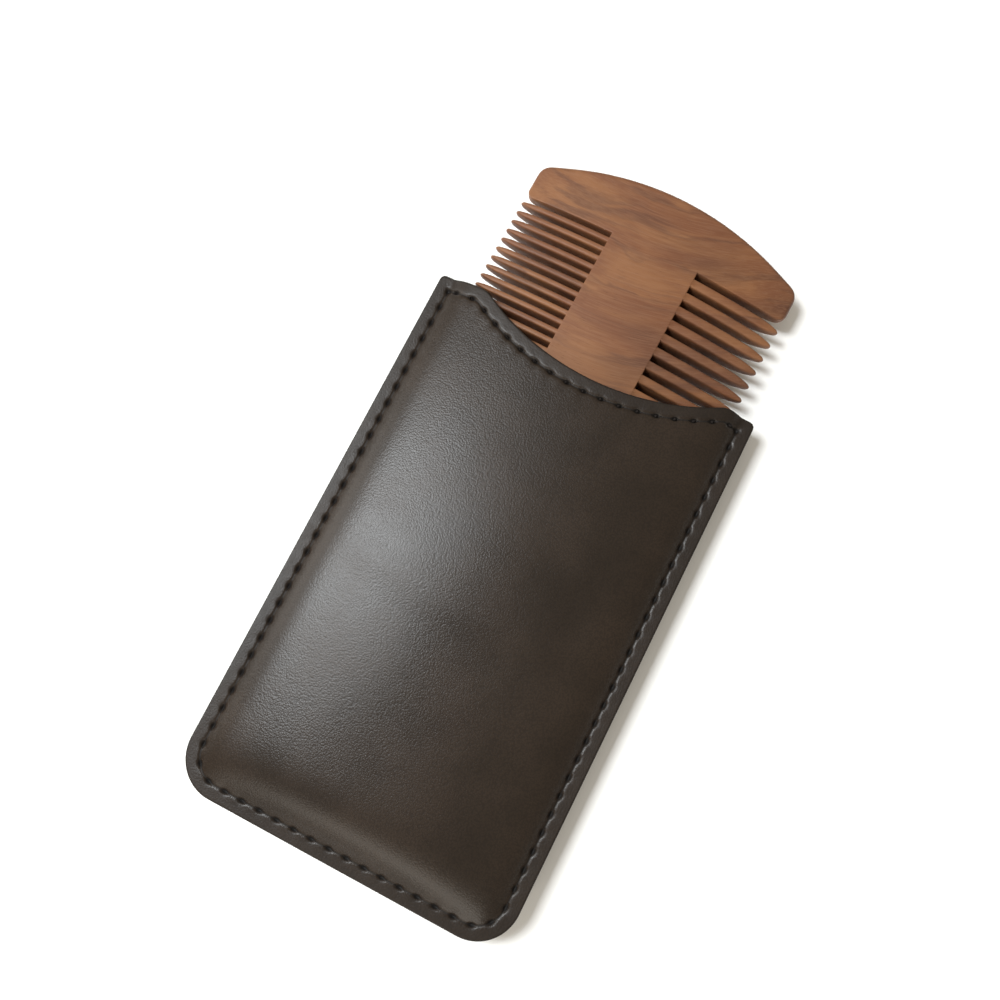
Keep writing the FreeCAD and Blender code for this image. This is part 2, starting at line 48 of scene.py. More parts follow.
print("frame loaded:", len(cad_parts), "nodes")


class Wire:
    # one output in a node tree; sums written on it turn into Math nodes
    def __init__(self, bench, socket):
        self.bench = bench
        self.socket = socket

    def calc(self, operation, first, second):
        return self.bench.add("ShaderNodeMath", {"operation": operation}, {0: first, 1: second})

    def __add__(self, other):
        return self.calc("ADD", self, other)

    def __radd__(self, other):
        return self.calc("ADD", other, self)

    def __sub__(self, other):
        return self.calc("SUBTRACT", self, other)

    def __rsub__(self, other):
        return self.calc("SUBTRACT", other, self)

    def __mul__(self, other):
        return self.calc("MULTIPLY", self, other)

    def __rmul__(self, other):
        return self.calc("MULTIPLY", other, self)

    def part(self, name):
        return Wire(self.bench, self.socket.node.outputs[name])


class Bench:
    # a node tree being put together, for a finish or for a geometry modifier
    def __init__(self, tree):
        self.tree = tree
        self.tree.nodes.clear()

    def add(self, kind, settings=None, sockets=None, output=0):
        node = self.tree.nodes.new(kind)
        placed = len(self.tree.nodes)
        node.location = (210 * (placed % 8), -260 * (placed // 8))
        for key, value in (settings or {}).items():
            setattr(node, key, value)
        for key, value in (sockets or {}).items():
            for one in value if isinstance(value, list) else [value]:    # a list fills a socket of many links
                if isinstance(one, Wire):
                    self.tree.links.new(one.socket, node.inputs[key])
                else:
                    node.inputs[key].default_value = one
        return Wire(self, node.outputs[output]) if node.outputs else None

    def mix(self, share, first, second):
        colours = {0: share, 6: solid(first), 7: solid(second)}
        return self.add("ShaderNodeMix", {"data_type": "RGBA"}, colours, 2)

    def noise(self, place, scale, detail=2.0, rough=0.5, warp=0.0):
        values = {"Vector": place, "Scale": scale, "Detail": detail, "Roughness": rough}
        return self.add("ShaderNodeTexNoise", None, {**values, "Distortion": warp})

    def spread(self, value, low, high, newLow=0.0, newHigh=1.0):
        values = {0: value, 1: low, 2: high, 3: newLow, 4: newHigh}
        return self.add("ShaderNodeMapRange", {"interpolation_type": "SMOOTHSTEP"}, values)

    def bump(self, height, distance, strength=1.0, under=None):
        values = {"Height": height, "Distance": distance, "Strength": strength}
        if under:
            values["Normal"] = under
        return self.add("ShaderNodeBump", None, values)


def solid(colour):
    return (*colour, 1) if isinstance(colour, tuple) else colour


def newFinish(name, shine):
    # a material with a bench to build on; shine holds the shader's plain values
    material = bpy.data.materials.new(name)
    material.use_nodes = True
    bench = Bench(material.node_tree)
    shader = bench.add("ShaderNodeBsdfPrincipled", None, shine)
    bench.add("ShaderNodeOutputMaterial", None, {"Surface": shader})
    return material, bench, shader.socket.node


def join(bench, wire, shader, name):
    bench.tree.links.new(wire.socket, shader.inputs[name])


def newPiece(name, verts, faces, material=None, marks=None):
    mesh = bpy.data.meshes.new(name)
    mesh.from_pydata((np.asarray(verts) * mm).tolist(), [], faces)
    for mark, values in (marks or {}).items():
        attribute = mesh.attributes.new(mark, "FLOAT", "POINT")
        attribute.data.foreach_set("value", np.asarray(values, np.float32))
    mesh.update()
    if material:
        mesh.materials.append(material)
    piece = bpy.data.objects.new(name, mesh)
    bpy.context.scene.collection.objects.link(piece)
    return piece


def smooth(piece, sharpAngle):
    piece.data.shade_smooth()
    piece.data.set_sharp_from_angle(angle=math.radians(sharpAngle))


def turnOut(piece):
    # all faces point outwards, on a closed mesh
    work = bmesh.new()
    work.from_mesh(piece.data)
    bmesh.ops.recalc_face_normals(work, faces=work.faces)
    work.to_mesh(piece.data)
    work.free()


def ramp01(value):
    value = np.clip(value, 0, 1)
    return value * value * (3 - 2 * value)


def fillInside(ring, spacing):
    # points and triangles that close a flat ring; ring points keep their numbers
    nearRing = 0.45 * spacing
    low, high = ring.min(0), ring.max(0)
    xs = np.arange(low[0] + spacing / 2, high[0], spacing)
    ys = np.arange(low[1] + spacing / 2, high[1], spacing)
    gridX, gridY = np.meshgrid(xs, ys)
    gridX = gridX + (np.arange(len(ys)) % 2)[:, None] * spacing / 2
    grid = np.stack([gridX.ravel(), gridY.ravel()], 1)
    following = np.roll(ring, -1, 0)
    inside = np.zeros(len(grid), bool)
    clear = np.full(len(grid), 1e9)
    for a, b in zip(ring, following):
        crosses = (a[1] > grid[:, 1]) != (b[1] > grid[:, 1])
        if crosses.any():
            cut = a[0] + (grid[:, 1] - a[1]) * (b[0] - a[0]) / (b[1] - a[1] if b[1] != a[1] else 1)
            inside ^= crosses & (grid[:, 0] < cut)
        clear = np.minimum(clear, np.hypot(*(grid - a).T))
    kept = grid[inside & (clear > nearRing)]
    points = np.vstack([ring, kept])
    count = len(ring)
    edges = [(i, (i + 1) % count) for i in range(count)]
    result = delaunay_2d_cdt([Vector(p) for p in points], edges, [], 1, 1e-5)
    origin = [known[0] for known in result[3]]
    triangles = [[origin[corner] for corner in face] for face in result[2]]
    return kept, triangles


def closedShell(name, upper, lower, inner, triangles, material, marks):
    # upper and lower are lists of rings of points, from the rim inwards, each ending in its inner points
    verts, faces = [], []
    count = len(upper[0])

    def layRings(rings, middle, up):
        starts = []
        for ring in rings:
            starts.append(sum(len(v) for v in verts))
            verts.append(ring)
        middleStart = sum(len(v) for v in verts)
        verts.append(middle)
        for here, there in zip(starts, starts[1:]):
            for i in range(count):
                j = (i + 1) % count
                quad = (here + i, here + j, there + j, there + i)
                faces.append(quad if up else quad[::-1])
        last = starts[-1]
        for face in triangles:
            real = tuple(last + k if k < count else middleStart + k - count for k in face)
            faces.append(real if up else real[::-1])
        return starts[0]

    top = layRings(upper, inner[0], True)
    low = layRings(lower, inner[1], False)
    for i in range(count):
        j = (i + 1) % count
        faces.append((low + i, low + j, top + j, top + i))
    return newPiece(name, np.vstack(verts), faces, material, marks)


# camera, lights and floor
camera = {"place": (12.3, -2.2, 195.4), "looksAt": (-3.52, 21.12, 7.8),
          "up": (-0.4476, 0.882, 0.1474), "lens": 32.4, "sensor": 36, "nearest": 5}
lights = {
    "window": {"place": (-312, 4, 620), "aim": (-24, 0, 8), "size": (190, 180), "power": 4.9,
               "colour": (0.955, 1.0, 1.03)},
    "leftWall": {"place": (-620, 0, 300), "aim": (0, 0, 0), "size": (400, 300), "power": 1.7,
                 "colour": (1.0, 0.97, 0.92)},
    "fill": {"place": (80, -620, 330), "aim": (0, 40, 0), "size": (600, 260), "power": 2.0,
             "colour": (1.0, 0.95, 0.86)},
}
surround = {"sky": (1.0, 0.92, 0.78), "skyPower": 0.37}
table = {"colour": (0.93, 0.925, 0.915), "cloud": 0.985, "cloudShare": 0.4, "cloudScale": 9.0, "rough": 0.75,
         "shine": 0.2, "size": 3000, "level": -0.02}


def lookRotation(place, aim, up):
    back = (Vector(place) - Vector(aim)).normalized()
    right = Vector(up).cross(back).normalized()
    return Matrix((right, back.cross(right), back)).transposed()


def setStage():
    scene = bpy.context.scene
    scene.view_settings.view_transform = "Standard"
    data = bpy.data.cameras.new("camera")
    data.lens = camera["lens"]
    data.sensor_width = camera["sensor"]
    data.clip_start = camera["nearest"] * mm
    viewer = bpy.data.objects.new("camera", data)
    turn = lookRotation(camera["place"], camera["looksAt"], camera["up"])
    viewer.matrix_world = Matrix.Translation(Vector(camera["place"]) * mm) @ turn.to_4x4()
    scene.collection.objects.link(viewer)
    scene.camera = viewer
    for name, facts in lights.items():
        lamp = bpy.data.lights.new(name, "AREA")
        lamp.shape = "RECTANGLE"
        lamp.size = facts["size"][0] * mm
        lamp.size_y = facts["size"][1] * mm
        lamp.energy = facts["power"]
        lamp.color = facts["colour"]
        holder = bpy.data.objects.new(name, lamp)
        turn = lookRotation(facts["place"], facts["aim"], (0, 1, 0)).to_4x4()
        holder.matrix_world = Matrix.Translation(Vector(facts["place"]) * mm) @ turn
        scene.collection.objects.link(holder)
    world = bpy.data.worlds.new("surround")
    world.use_nodes = True
    bench = Bench(world.node_tree)
    sky = {"Color": solid(surround["sky"]), "Strength": surround["skyPower"]}
    bench.add("ShaderNodeOutputWorld", None, {"Surface": bench.add("ShaderNodeBackground", None, sky)})
    scene.world = world


def layTable():
    plain = {"Roughness": table["rough"], "Specular IOR Level": table["shine"]}
    paper, bench, shader = newFinish("paleTable", plain)
    place = bench.add("ShaderNodeTexCoord", None, None, "Object")
    share = bench.noise(place, table["cloudScale"]) * table["cloudShare"]
    colour = bench.mix(share, table["colour"], tuple(table["cloud"] * c for c in table["colour"]))
    join(bench, colour, shader, "Base Color")
    half, level = table["size"] / 2, table["level"]
    corners = [(-half, -half, level), (half, -half, level), (half, half, level), (-half, half, level)]
    newPiece("table_top", corners, [(0, 1, 2, 3)], paper)


setStage()
layTable()
print("stage set")


def boxOf(node):
    low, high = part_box(node)
    return np.array(low) / mm, np.array(high) / mm


sleeveLow, sleeveHigh = boxOf("front_outer_leather")
combLow, combHigh = boxOf("comb")
combMiddle = (combLow + combHigh) / 2
seamPlane = combMiddle[2]


# what each finish is made of: colours, sizes in mm, strengths
leatherLook = {
    # the darkest colour serves the cut edge's real edge paint and painted shade in the grain's hollows
    "dark": (0.019, 0.0125, 0.0082), "light": (0.027, 0.0175, 0.0115), "edgePaintAndShade": (0.009, 0.006, 0.0045),
    # the near-black colour below is painted shade for the needle holes and the thread's groove
    "hole": (0.004, 0.003, 0.0026),
    "shine": 0.3, "rough": 0.325, "fineRough": 0.16, "broadRough": 0.12, "rimRough": 0.12, "holeRough": 0.35,
    "pebble": 0.38, "pebbleDepth": 0.032, "wander": 0.3,    # the grain's size and depth, how uneven it is
    "valleyShade": 0.4, "rimShade": 0.3, "edgeShade": 0.85,    # how much of the darkest colour shows: painted shade in the grain's hollows, a darker rim outside the stitch line, the cut edge's real edge paint
    "broadScale": 70, "streakScale": 420, "broadDepth": 0.08,
}
liningLook = {"dark": (0.022, 0.016, 0.014), "light": (0.045, 0.034, 0.029), "shine": 0.25, "sheen": 0.3,
              "sheenRough": 0.5, "nap": 0.16, "napDepth": 0.06, "cloudScale": 160}
threadLook = {"dark": (0.006, 0.0045, 0.004), "light": (0.016, 0.0115, 0.010), "shine": 0.2, "twist": 0.5,
              "twistDepth": 0.06, "fuzzScale": 9000}
# the tuples that end in "Tight" say how tightly a pattern runs along, across and through the comb
woodLook = {
    # the smoky colour also carries painted shade on the comb's coarse side
    "base": (0.152, 0.058, 0.026), "warm": (0.212, 0.09, 0.037), "smokyAndShade": (0.078, 0.033, 0.02),
    "pale": (0.285, 0.15, 0.084), "shine": 0.32, "rough": 0.5, "tilt": -1.8, "curl": 13.0, "slant": 0.35,
    "driftTight": (0.045, 0.16, 0.16), "bandTight": (0.02, 0.42, 0.3), "bandDrift": 3.4,
    "fibreTight": (0.14, 3.6, 3.6), "fibreDrift": 3, "poreTight": (0.55, 7.0, 7.0),
    "smokeTight": (0.03, 0.075, 0.05), "band": 0.55, "smokeAndSideShade": 0.5, "fibre": 0.25, "pore": 0.5,
    "grainDepth": 0.03,
}


def makeLeather():
    look = leatherLook
    material, bench, shader = newFinish("leather", {"Specular IOR Level": look["shine"]})
    place = bench.add("ShaderNodeTexCoord", None, None, "Object")
    size = look["pebble"] * mm
    wobble = bench.noise(place, 0.9 / size, 2).part("Color")
    offCentre = bench.add("ShaderNodeVectorMath", {"operation": "SUBTRACT"}, {0: wobble, 1: (0.5, 0.5, 0.5)})
    shifted = bench.add("ShaderNodeVectorMath", {"operation": "MULTIPLY_ADD"},
                        {0: offCentre, 1: (look["wander"] * size,) * 3, 2: place})
    cells = bench.add("ShaderNodeTexVoronoi", {"feature": "F1"}, {"Vector": shifted, "Scale": 1 / size})
    fine = bench.noise(place, 3.5 / size, 3, 0.6)
    broad = bench.noise(place, look["broadScale"], 3)
    streak = bench.noise(place, look["streakScale"], 2)
    # inset is the distance from the panel's edge in mm; the other mark is 1 in a needle hole and high along the
    # thread's groove, and carries painted shade there
    inset = bench.add("ShaderNodeAttribute", {"attribute_name": "inset"}, None, "Fac")
    hole = bench.add("ShaderNodeAttribute", {"attribute_name": "hole"}, None, "Fac")
    pebble = 1 - cells
    tone = bench.mix(bench.spread(broad, 0.3, 0.7), look["dark"], look["light"])
    # painted shade: the grain's hollows darkened towards the darkest colour
    tone = bench.mix(bench.spread(pebble, 0.3, 0.65, look["valleyShade"], 0.0), tone, look["edgePaintAndShade"])
    tone = bench.mix(bench.spread(inset, 2.3, 2.8, look["rimShade"], 0.0), tone, look["edgePaintAndShade"])
    tone = bench.mix(bench.spread(inset, 0.1, 0.5, look["edgeShade"], 0.0), tone, look["edgePaintAndShade"])
    # painted shade: near-black in the needle holes and along the thread's groove
    tone = bench.mix(bench.spread(hole, 0.15, 0.7, 0.0, 0.95), tone, look["hole"])
    join(bench, tone, shader, "Base Color")
    rough = look["rough"] + look["fineRough"] * (fine - 0.5) + look["broadRough"] * (broad - 0.5)
    rough = rough + bench.spread(inset, 2.2, 2.7, look["rimRough"], 0.0) * (streak + 0.5)
    rough = rough + bench.spread(hole, 0.1, 0.7, 0.0, look["holeRough"])
    join(bench, rough, shader, "Roughness")
    grain = bench.bump(pebble * 0.9 + fine * 0.6, look["pebbleDepth"] * mm, 0.9)
    join(bench, bench.bump(broad, look["broadDepth"] * mm, 0.3, grain), shader, "Normal")
    return material


def makeLining():
    shine = {"Specular IOR Level": liningLook["shine"], "Sheen Weight": liningLook["sheen"],
             "Sheen Roughness": liningLook["sheenRough"]}
    material, bench, shader = newFinish("liningCloth", shine)
    place = bench.add("ShaderNodeTexCoord", None, None, "Object")
    nap = bench.noise(place, 1 / (liningLook["nap"] * mm), 3, 0.65)
    cloud = bench.noise(place, liningLook["cloudScale"], 2)
    tone = bench.mix(bench.spread(nap * 0.7 + cloud * 0.3, 0.35, 0.65), liningLook["dark"], liningLook["light"])
    join(bench, tone, shader, "Base Color")
    join(bench, 0.85 + 0.1 * nap, shader, "Roughness")
    join(bench, bench.bump(nap, liningLook["napDepth"] * mm, 0.8), shader, "Normal")
    return material


def makeThread():
    material, bench, shader = newFinish("thread", {"Specular IOR Level": threadLook["shine"]})
    place = bench.add("ShaderNodeTexCoord", None, None, "Object")
    twist = {"Vector": place, "Scale": 0.31 / (threadLook["twist"] * mm), "Distortion": 1.2, "Detail": 1}
    ply = bench.add("ShaderNodeTexWave", {"bands_direction": "DIAGONAL"}, twist)
    fuzz = bench.noise(place, threadLook["fuzzScale"], 2)
    tone = bench.mix(ply * 0.7 + fuzz * 0.3, threadLook["dark"], threadLook["light"])
    join(bench, tone, shader, "Base Color")
    join(bench, 0.75 + 0.2 * fuzz, shader, "Roughness")
    join(bench, bench.bump(ply * 0.8 + fuzz * 0.2, threadLook["twistDepth"] * mm, 0.8), shader, "Normal")
    return material


def makeWood():
    look = woodLook
    material, bench, shader = newFinish("redSandalwood", {"Specular IOR Level": look["shine"]})
    place = bench.add("ShaderNodeTexCoord", None, None, "Object")
    middle = {"Vector": place, "Location": Vector(combMiddle) * mm,
              "Rotation": (0, 0, math.radians(look["tilt"])), "Scale": (mm, mm, mm)}
    local = bench.add("ShaderNodeMapping", {"vector_type": "TEXTURE"}, middle)
    axes = bench.add("ShaderNodeSeparateXYZ", None, {0: local})
    x, y, z = (axes.part(name) for name in "XYZ")
    reach = bench.spread(x, -20, 40, 0.0, 1.0)
    bent = y - reach * reach * look["curl"] + z * look["slant"]

    def pattern(name, detail, rough=0.5, warp=0.0, shift=None):
        along, across, through = look[name]
        level = bent * across if shift is None else bent * across + shift
        stretched = bench.add("ShaderNodeCombineXYZ", None, {0: x * along, 1: level, 2: z * through})
        return bench.noise(stretched, 1.0, detail, rough, warp)

    drift = pattern("driftTight", 3, 0.55, 0.6)
    ringed = pattern("bandTight", 2, shift=drift * look["bandDrift"])
    fibre = pattern("fibreTight", 3, 0.6, shift=drift * look["fibreDrift"])
    pore = pattern("poreTight", 2)
    # smoke noise plus painted shade: a ramp across the comb darkens it towards the coarse side, away from the
    # light
    smokeAndSideShade = pattern("smokeTight", 2) + bench.spread(x, -28, 30, -0.1, 0.09)
    tone = bench.mix(bench.spread(drift, 0.38, 0.66), look["base"], look["warm"])
    tone = bench.mix(bench.spread(ringed, 0.50, 0.68, 0.0, look["band"]), tone, look["smokyAndShade"])
    tone = bench.mix(bench.spread(smokeAndSideShade, 0.48, 0.7, 0.0, look["smokeAndSideShade"]), tone, look["smokyAndShade"])
    tone = bench.mix(bench.spread(fibre, 0.35, 0.75, 0.0, look["fibre"]), tone, look["pale"])
    tone = bench.mix(bench.spread(pore, 0.62, 0.78, 0.0, look["pore"]), tone, look["smokyAndShade"])
    join(bench, tone, shader, "Base Color")
    rough = look["rough"] + 0.14 * (fibre - 0.5) + bench.spread(pore, 0.6, 0.8, 0.0, 0.2)
    join(bench, rough, shader, "Roughness")
    grain = fibre * 0.6 - bench.spread(pore, 0.6, 0.8)
    join(bench, bench.bump(grain, look["grainDepth"] * mm, 0.6), shader, "Normal")
    return material


leatherFinish = makeLeather()
liningFinish = makeLining()
threadFinish = makeThread()
woodFinish = makeWood()
print("finishes made")


# the sleeve: its panels, the pocket between them, how the leather lies, the seam's marks
panel = {
    "width": sleeveHigh[0] - sleeveLow[0], "height": 120.0, "bottomRadius": 9.3, "topRadius": 1.2,
    "leastRadius": 0.3, "notchLow": 51.8, "notchShift": 2.0, "notchRadius": 53.0, "shoulderRadius": 6.0,
    "leather": 1.2, "lining": 0.48, "glue": 0.02, "step": 0.3, "fill": 1.1, "fieldInset": 6.0, "sharpAngle": 50,
}
pocket = {"rise": 4.9, "halfWidth": 34.1, "floor": 56.4, "crown": 0.6, "sideFlatness": 20.0, "endFlatness": 8.0,
          "softness": 0.25}
drape = {
    "sag": 0.32, "over": 9.0, "floorEnd": -60, "floorOver": 22, "endLift": 0.8, "endArch": 84.0, "ripple": 0.05,
    "cornerLift": 0.2, "cornerSpread": 4.0, "cornerX": 27.0, "cornerUp": 1.5, "cornerSquash": 0.8,
}
dent = {"middle": (-24.0, 2.4), "long": 7.0, "wide": 2.3, "depth": 0.13}
seam = {
    "inset": 3.0, "pitch": 4.0, "holeDepth": 0.55, "holeLong": 0.78, "holeWide": 0.5, "grooveShade": 0.55,
    "grooveDepth": 0.18, "grooveWide": 0.28, "pullDepth": 0.045, "pullWide": 1.1, "pucker": 0.025, "reach": 2.6,
    "dipPower": 1.3, "puffIn": {"at": 1.1, "wide": 0.6, "share": 1.0},
    "puffOut": {"at": -0.9, "wide": 0.5, "share": 0.6},
}
edgeRound = {"outer": 0.3, "inner": 0.12, "cloth": 0.05}
outerDepths = [0, 0.04, 0.12, 0.25, 0.5, 0.9, 1.4, 1.8, 2.1, 2.35, 2.55, 2.72, 2.86, 3.0,
               3.14, 3.28, 3.45, 3.65, 3.9, 4.2, 4.55, 4.9]
innerDepths = [0, 0.05, 0.2, 1.2, 2.6, 3.4, 4.1, 4.9]


def panelSegments(depth):
    # the outline drawn in by depth, from the top of the left edge anticlockwise
    wide, high = panel["width"] / 2 - depth, panel["height"] / 2 - depth
    low = panel["bottomRadius"] - depth
    top = max(panel["topRadius"] - depth, panel["leastRadius"])
    notch, shoulder, shift = panel["notchRadius"], panel["shoulderRadius"], panel["notchShift"]
    notchY, shoulderY = panel["notchLow"] + notch, panel["height"] / 2 - shoulder
    spread = math.sqrt((notch + shoulder) ** 2 - (notchY - shoulderY) ** 2)
    lean = math.degrees(math.asin(spread / (notch + shoulder)))
    right, left = shift + spread, shift - spread
    return [
        ((-wide, high - top), (-wide, low - high)),
        ((low - wide, low - high), low, 180, 270),
        ((low - wide, -high), (wide - low, -high)),
        ((wide - low, low - high), low, 270, 360),
        ((wide, low - high), (wide, high - top)),
        ((wide - top, high - top), top, 0, 90),
        ((wide - top, high), (right, high)),
        ((right, shoulderY), shoulder - depth, 90, 90 + lean),
        ((shift, notchY), notch + depth, 270 + lean, 270 - lean),
        ((left, shoulderY), shoulder - depth, 90 - lean, 90),
        ((left, high), (top - wide, high)),
        ((top - wide, high - top), top, 90, 180),
    ]


def segmentLength(segment):
    if len(segment) == 2:
        return math.dist(*segment)
    return segment[1] * math.radians(abs(segment[3] - segment[2]))


stepCounts = [max(3, round(segmentLength(s) / panel["step"])) for s in panelSegments(seam["inset"])]


def panelLine(depth):
    pieces = []
    for segment, count in zip(panelSegments(depth), stepCounts):
        share = np.arange(count) / count
        if len(segment) == 2:
            first, last = np.array(segment)
            pieces.append(first + share[:, None] * (last - first))
        else:
            centre, radius, first, last = segment
            angle = np.radians(first + share * (last - first))
            pieces.append(np.array(centre) + radius * np.stack([np.cos(angle), np.sin(angle)], 1))
    return pieces


def placesAlong(line, shares):
    # points at these shares of a line's length
    steps = np.hypot(*np.diff(line, axis=0).T)
    reached = np.concatenate([[0], np.cumsum(steps)])
    wanted = np.asarray(shares) * reached[-1]
    return np.stack([np.interp(wanted, reached, line[:, k]) for k in range(2)], 1)


def findHoles():
    # needle holes: round the closed edges, and along the mouth half a stitch clear of the corners
    runs = panelLine(seam["inset"])
    wide, high = panel["width"] / 2 - seam["inset"], panel["height"] / 2 - seam["inset"]
    closed = np.vstack([[(-wide, high)], *runs[:5], [(wide, high)]])
    mouth = np.vstack([[(wide, high)], *runs[6:11], [(-wide, high)]])
    count = round(np.hypot(*np.diff(closed, axis=0).T).sum() / seam["pitch"])
    mouthCount = round(np.hypot(*np.diff(mouth, axis=0).T).sum() / seam["pitch"])
    sideHoles = placesAlong(closed, np.arange(count + 1) / count)
    return sideHoles, placesAlong(mouth, (np.arange(mouthCount) + 0.5) / mouthCount)


sideHoles, mouthHoles = findHoles()
allHoles = np.vstack([sideHoles, mouthHoles])


def pocketHalf(points):
    # half the pocket's depth: crowned over the comb, closed at the sides and bottom
    reach = pocket["halfWidth"]
    across = np.abs(points[:, 0]) / reach
    down = np.maximum(0, (reach - pocket["floor"] - points[:, 1]) / reach)
    fall = 1 - across ** pocket["sideFlatness"] - down ** pocket["endFlatness"]
    crowned = pocket["rise"] * np.maximum(0, 1 - pocket["crown"] * across ** 2)
    return crowned * (fall + np.hypot(fall, pocket["softness"])) / 2


def combEndLine(x):
    # the comb's lower arch, in the sleeve's frame
    return combLow[1] + drape["endLift"] + (x - combMiddle[0]) ** 2 / (2 * drape["endArch"])


def slackOf(points):
    # how much the front sinks where no comb lies under it, and lifts over the comb's hidden corners
    x, y = points[:, 0], points[:, 1]
    beyond = combEndLine(x) - y
    inside = pocketHalf(points) / pocket["rise"]
    sink = -drape["sag"] * ramp01(beyond / drape["over"]) * ramp01((y - drape["floorEnd"]) / drape["floorOver"])
    for side in (-1, 1):
        cornerX = combMiddle[0] + side * drape["cornerX"]
        cornerY = combEndLine(cornerX) + drape["cornerUp"]
        near = np.hypot(x - cornerX, (y - cornerY) * drape["cornerSquash"]) / drape["cornerSpread"]
        sink = sink + drape["cornerLift"] * np.exp(-near ** 2)
    wave = np.sin(x * 0.19 + y * 0.05 + 0.6) * np.sin(y * 0.13 - x * 0.04)
    return (sink + drape["ripple"] * wave) * inside ** 2


def stitchRelief(points, depth):
    # (height change of the face, share of painted hole shade) round the needle holes and along the thread's
    # groove
    across = depth - seam["inset"]
    near = np.abs(across) < seam["reach"]
    relief, hole = np.zeros(len(points)), np.zeros(len(points))
    close = points[near]
    if not len(close):
        return relief, hole
    gap = np.full(len(close), 1e9)
    for place in allHoles:
        gap = np.minimum(gap, np.hypot(*(close - place).T))
    off = across[near]
    along = np.sqrt(np.maximum(gap ** 2 - off ** 2, 0))
    dip = np.exp(-((along / seam["holeLong"]) ** 2 + (off / seam["holeWide"]) ** 2) ** seam["dipPower"])
    pull = np.exp(-(off / seam["pullWide"]) ** 2)
    groove = np.exp(-(off / seam["grooveWide"]) ** 2)
    puff = sum(swell["share"] * np.exp(-((off - swell["at"]) / swell["wide"]) ** 2)
               for swell in (seam["puffIn"], seam["puffOut"]))
    wave = np.cos(np.pi * np.minimum(along, seam["pitch"] / 2) / (seam["pitch"] / 2))
    relief[near] = (-seam["holeDepth"] * dip - seam["pullDepth"] * pull - seam["grooveDepth"] * groove
                    - seam["pucker"] * wave * puff)
    hole[near] = np.maximum(dip, seam["grooveShade"] * groove)
    return relief, hole


def roundDrop(depth, radius):
    inward = np.clip(radius - depth, 0, radius)
    return radius - np.sqrt(radius ** 2 - inward ** 2)


def faceLevel(points, side, layer):
    # layer: height above the pocket's face, measured outwards
    level = seamPlane + side * (pocketHalf(points) + layer)
    if side > 0:
        away = (points - dent["middle"]) / (dent["long"], dent["wide"])
        level = level + slackOf(points) - dent["depth"] * np.exp(-np.sum(away ** 2, axis=1))
    return level


def makeSheet(name, side, near, far, material, stitched):
    # a panel from near to far above the pocket's face; side 1 is the front, -1 the back
    lastRing = np.vstack(panelLine(innerDepths[-1]))
    kept, triangles = fillInside(lastRing, panel["fill"])
    marks = {"inset": [], "hole": []}

    def face(depths, layer, outward, radius, sewn):
        rings = []
        for depth in [*depths, None]:
            flat = kept if depth is None else np.vstack(panelLine(depth))
            inset = np.full(len(flat), panel["fieldInset"] if depth is None else depth)
            relief, hole = stitchRelief(flat, inset) if sewn else (0, np.zeros(len(flat)))
            level = faceLevel(flat, side, layer)
            level = level + side * outward * (relief - roundDrop(inset, radius))
            if side < 0 and outward > 0:
                level = np.maximum(0, level)
            rings.append(np.column_stack([flat, level]))
            marks["inset"].append(inset)
            marks["hole"].append(hole)
        return rings[:-1], rings[-1]

    outer, inner = (edgeRound["outer"], edgeRound["inner"]) if stitched else (edgeRound["cloth"],) * 2
    order = [(outerDepths if stitched else innerDepths, far, 1, outer, stitched),
             (innerDepths, near, -1, inner, False)]
    if side < 0:
        order.reverse()
    upper, middleUp = face(*order[0])
    lower, middleLow = face(*order[1])
    marks = {key: np.concatenate(values) for key, values in marks.items()}
    sheet = closedShell(name, upper, lower, (middleUp, middleLow), triangles, material, marks)
    smooth(sheet, panel["sharpAngle"])
    return sheet


liningTop = panel["lining"]
leatherLow = panel["lining"] + panel["glue"]
leatherTop = leatherLow + panel["leather"]
frontLeather = makeSheet("front_leather", 1, leatherLow, leatherTop, leatherFinish, True)
backLeather = makeSheet("back_leather", -1, leatherLow, leatherTop, leatherFinish, True)
frontCloth = makeSheet("front_cloth", 1, 0, liningTop, liningFinish, False)
backCloth = makeSheet("back_cloth", -1, 0, liningTop, liningFinish, False)
print("panels made:", len(frontLeather.data.polygons), "faces in the front")


# one stitch of thread
strand = {
    "thick": 0.52, "sides": 6, "proud": 0.02, "legs": 1.1, "bendFrom": 0.30, "bendOver": 0.2,
    "insideSink": 0.05, "clear": 0.02, "shorten": 0.98, "sharpAngle": 60,
    "stations": (-0.5, -0.455, -0.40, -0.28, 0.0, 0.28, 0.40, 0.455, 0.5),
}


def makeStrand():
    # one stitch of length 1 along X, with its ends going down the holes
    verts, faces = [], []
    radius, sides = strand["thick"] / 2, strand["sides"]
    for share in strand["stations"]:
        drop = ramp01((abs(share) - strand["bendFrom"]) / strand["bendOver"]) * strand["legs"]
        for k in range(sides):
            angle = 2 * math.pi * k / sides
            verts.append((share / mm, radius * math.cos(angle), radius * math.sin(angle) - drop))
    for i in range(len(strand["stations"]) - 1):
        for k in range(sides):
            a, b = i * sides + k, i * sides + (k + 1) % sides
            faces.append((a, a + sides, b + sides, b))
    last = len(verts) - sides
    faces.append(tuple(range(sides)))
    faces.append(tuple(last + k for k in reversed(range(sides))))
    piece = newPiece("strand", verts, faces)
    turnOut(piece)
    return piece


